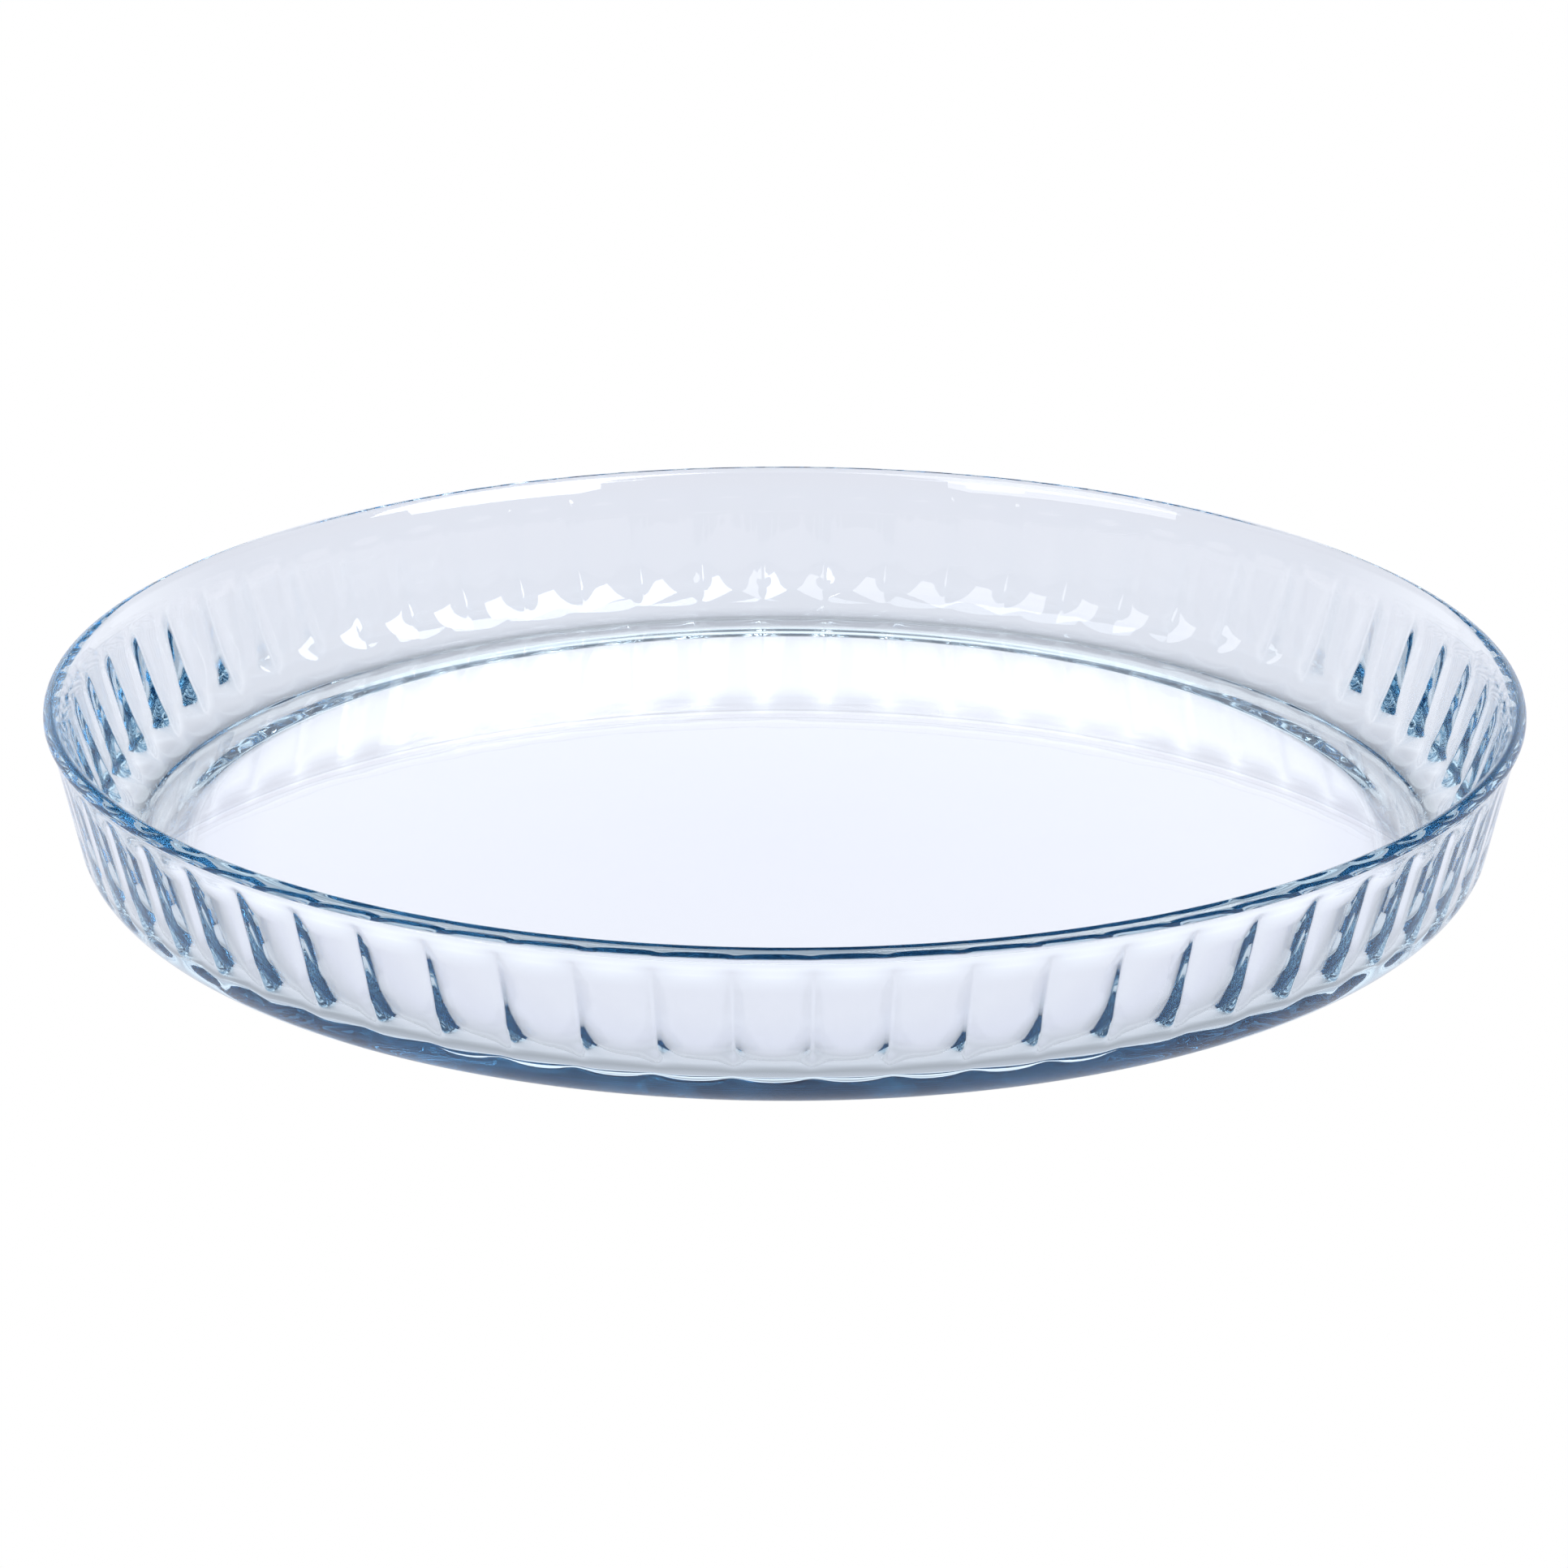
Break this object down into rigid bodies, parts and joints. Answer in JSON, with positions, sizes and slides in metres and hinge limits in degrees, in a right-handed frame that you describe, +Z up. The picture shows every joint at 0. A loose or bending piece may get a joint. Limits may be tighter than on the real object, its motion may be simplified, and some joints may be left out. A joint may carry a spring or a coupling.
{
  "type": "glass baking dish",
  "caption": "Round shallow clear-glass flan dish with a fluted flared wall, a plain rounded rim and a plain foot, for baking and serving tarts.",
  "frame": {"origin": "middle of the plane that the stand ring rests on, on the dish's axis", "axes": "+Z up along the dish's axis; one outer groove lies in the plane of -Y"},
  "size_m": [0.31, 0.31, 0.0364],
  "materials": {
    "clear_glass": "clear polished pressed glass with a faint blue cast"
  },
  "bodies": {
    "root": {"glass_dish": "clear_glass"}
  },
  "joints": []
}
